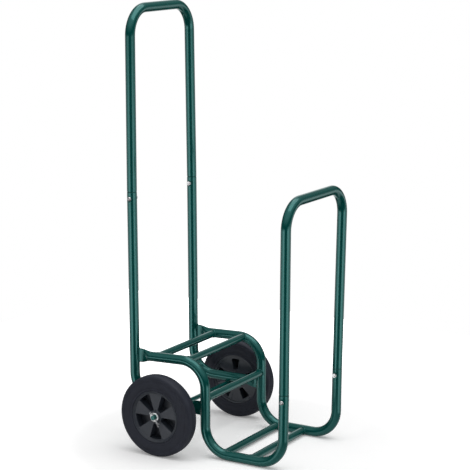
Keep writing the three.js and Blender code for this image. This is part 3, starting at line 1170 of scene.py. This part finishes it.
def wedges(inner, outer, halfAngle, start, end, firstAngle, rounding):
    # Cutters shaped as wedges of the wheel, one for each spoke or window. Angles are in degrees from
    # +X towards +Z.
    hub = Vector((axleX, wheel["centre"], axleZ))
    length = end - start
    piece = rod(hub - Vector((0, (start + end) / 2, 0)), (0, 1, 0), outer, length, wheel["around"])

    def direction(angle):
        return Vector((math.cos(math.radians(angle)), 0, math.sin(math.radians(angle))))

    for place, away in (
        (hub, direction(firstAngle + halfAngle + 90)),
        (hub, direction(firstAngle - halfAngle - 90)),
        (hub + direction(firstAngle) * inner, -direction(firstAngle)),
    ):
        edit(piece)
        bpy.ops.mesh.bisect(plane_co=place, plane_no=away, use_fill=True, clear_outer=True)
        leave()
    roundEdges(piece, rounding, segments=3, angle=50)
    copies = [piece]
    for i in range(1, wheel["spokes"]):
        angle = 2 * math.pi * i / wheel["spokes"]
        spin = Matrix.Translation(hub) @ Matrix.Rotation(angle, 4, "Y") @ Matrix.Translation(-hub)
        copies.append(copied(piece, "cutter", spin))
    return joined(copies, "cutter")


def makeRim():
    band, lip, face = rim["band"], rim["bandInner"], rim["spokeFace"]
    half, hub = wheel["half"], rim["hub"]
    loop = [
        (rim["bore"], -rim["hubInset"]), (hub, -rim["hubInset"]),
        (hub, rim["webBack"] - 1.5 * mm), (hub + 0.5 * mm, rim["webBack"] - 0.5 * mm),
        (hub + 1.5 * mm, rim["webBack"]),
        (lip, rim["webBack"]), (lip, 2 * mm - half), (band, 2 * mm - half),
        (band, half - 1.4 * mm), (band - 0.4 * mm, half - 0.5 * mm), (band - 1.2 * mm, half - 0.1 * mm),
        (band - 2.2 * mm, half - 0.5 * mm), (band - 3 * mm, half - 1.8 * mm),
        (lip + 0.6 * mm, half - 2.8 * mm), (lip - 0.3 * mm, half - 3.3 * mm), (lip - 1 * mm, face),
        (hub + 2.5 * mm, face), (hub + 1 * mm, face + 0.5 * mm), (hub + 0.2 * mm, face + 1.6 * mm),
        (hub, face + 2.6 * mm), (hub, rim["hubOutset"] - 0.5 * mm), (hub - 0.5 * mm, rim["hubOutset"]),
        (rim["bore"], rim["hubOutset"]), (rim["bore"], -rim["hubInset"]),
    ]
    centre = (axleX, wheel["centre"], axleZ)
    piece = turnProfile("wheelRimRight", centre, (0, -1, 0), loop, wheel["around"])
    pitch = 360 / wheel["spokes"]
    cut(piece, wedges(
        rim["windowInner"], rim["windowOuter"], rim["windowHalfAngle"],
        rim["webFront"], half + rim["overcut"], 90 + pitch / 2, rim["cornerRounding"],
    ))
    cut(piece, wedges(
        rim["hollowInner"], rim["hollowOuter"], rim["hollowHalfAngle"],
        -half - rim["overcut"], rim["hollowFront"], 90, rim["cornerRounding"],
    ))
    roundEdges(piece, rim["edgeRounding"], segments=2, angle=50)
    smooth(piece, angle=40, weighted=True)
    keep(copied(piece, "wheelRimLeft", turnAbout), "wheel_left", "black_plastic", "wheel_rim_left")
    keep(piece, "wheel_right", "black_plastic", "wheel_rim_right")


makeTyre()
makeRim()
print("wheels made")


# ---- stage and light ----

studio = {
    "cameraSide": (0.5105, -0.8599, 0.0),
    # Brightness of the low light cards round the cart, against how far a direction turns from the
    # back (0) to the camera's side (1): dark behind the camera and bright on both sides of it.
    "cards": (
        (0.0, 0.02), (0.13, 0.04), (0.26, 0.15), (0.51, 0.3),
        (0.7, 0.65), (0.8, 1.0), (0.88, 0.95), (0.945, 0.28), (0.975, 0.0),
    ),
    "cardLevel": 2.6,
    "cardHeights": ((0.3, 0), (0.36, 1), (0.44, 1), (0.5, 0)),  # 0.5 is level with the cart
    "backCard": ((0.14, 0), (0.24, 1), (0.4, 0)),
    "backCardHeights": ((0.2, 1), (0.44, 1), (0.56, 0.35), (0.64, 0)),
    "backCardLevel": 0.8,
    "ceilingHeights": ((0.58, 0), (0.8, 1)),
    "ceiling": 0.9,
    "ceilingBack": 0.3,  # the ceiling's share of that behind the cart
    "mirroredWhite": ((0.0, 1), (0.03, 0)),  # how near to straight behind the tubes mirror white
    "topSpot": (0.4, 0.1, 3.0),
    "topSize": 2.8,
    "topWatts": 46,
    "floorSize": 2.6,
    "floorColour": 0.94,
    "floorWhite": ((0.4, 0), (0.95, 1)),  # metres from the middle to where it fades to white
    "floorMirrored": ((0.12, 0), (0.5, 1)),  # and to where tubes mirror the room, not the floor
    "floorLift": 0.2,  # lets the lit floor reach white without more light on the cart
}


def seenBehind(paint):
    # The rays that see the background as plain white: the camera's, and those that pass through.
    camera = paint.node("ShaderNodeLightPath", output="Is Camera Ray")
    through = paint.node("ShaderNodeLightPath", output="Is Transmission Ray")
    return camera + through


def makeFloor():
    bpy.ops.object.select_all(action="DESELECT")
    bpy.ops.mesh.primitive_plane_add(size=studio["floorSize"])
    floor = bpy.context.object
    floor.name = "paleFloor"
    paint = Paint(bpy.data.materials.new("paleFloor"))
    spot = paint.node("ShaderNodeTexCoord", output="Object")
    away = paint.node("ShaderNodeVectorMath", {"operation": "LENGTH"}, {0: spot}, output="Value")
    far = paint.ramp(away, *studio["floorWhite"])
    mirrored = paint.node("ShaderNodeLightPath", output="Is Glossy Ray")
    grey = studio["floorColour"]
    sheet = paint.node("ShaderNodeBsdfPrincipled", values={
        "Base Color": (grey, grey, grey, 1), "Roughness": 0.9, "Specular IOR Level": 0.1,
        "Emission Color": (1, 1, 1, 1),
        "Emission Strength": seenBehind(paint) * (far + studio["floorLift"]),
    })
    clear = paint.node("ShaderNodeBsdfTransparent")
    edge = paint.ramp(away, *studio["floorMirrored"])
    mixed = paint.node("ShaderNodeMixShader", values={0: mirrored * edge, 1: sheet, 2: clear})
    paint.node("ShaderNodeOutputMaterial", values={"Surface": mixed})
    floor.data.materials.append(paint.owner)


def makeWorld():
    world = bpy.data.worlds.new("studio")
    bpy.context.scene.world = world
    paint = Paint(world)
    heading = paint.node("ShaderNodeTexCoord", output="Generated")
    level = paint.node("ShaderNodeVectorMath", {"operation": "MULTIPLY"}, {0: heading, 1: (1, 1, 0)})
    level = paint.node("ShaderNodeVectorMath", {"operation": "NORMALIZE"}, {0: level})
    facing = paint.node("ShaderNodeVectorMath", {"operation": "DOT_PRODUCT"}, {
        0: level, 1: studio["cameraSide"],
    }, output="Value")
    facing = facing * 0.5 + 0.5
    height = paint.node("ShaderNodeSeparateXYZ", values={0: heading}, output="Z") * 0.5 + 0.5
    cards = paint.ramp(facing, *studio["cards"]) * paint.ramp(height, *studio["cardHeights"])
    back = studio["ceilingBack"]
    ceiling = paint.ramp(height, *studio["ceilingHeights"]) * (back + (1 - back) * facing)
    backCard = paint.ramp(facing, *studio["backCard"]) * paint.ramp(height, *studio["backCardHeights"])
    glow = cards * studio["cardLevel"] + ceiling * studio["ceiling"] + backCard * studio["backCardLevel"]
    room = paint.node("ShaderNodeBackground", values={"Strength": glow})
    white = paint.node("ShaderNodeBackground", values={"Strength": 1.0})
    for background in (room, white):
        background.socket.node.inputs["Color"].default_value = (1, 1, 1, 1)
    mirrored = paint.node("ShaderNodeLightPath", output="Is Glossy Ray")
    seen = seenBehind(paint) + mirrored * paint.ramp(facing, *studio["mirroredWhite"])
    mixed = paint.node("ShaderNodeMixShader", values={0: seen, 1: room, 2: white})
    paint.node("ShaderNodeOutputWorld", values={"Surface": mixed})


def makeTopSoftbox():
    spot = Vector(studio["topSpot"])
    bpy.ops.object.light_add(type="AREA", location=spot, rotation=aimed(spot - Vector((0, 0, 0.5))))
    lamp = bpy.context.object
    lamp.name = "topSoftbox"
    lamp.data.size = studio["topSize"]
    lamp.data.energy = studio["topWatts"]


makeFloor()
makeWorld()
makeTopSoftbox()
bpy.context.scene.view_settings.view_transform = "Standard"
print("stage lit")
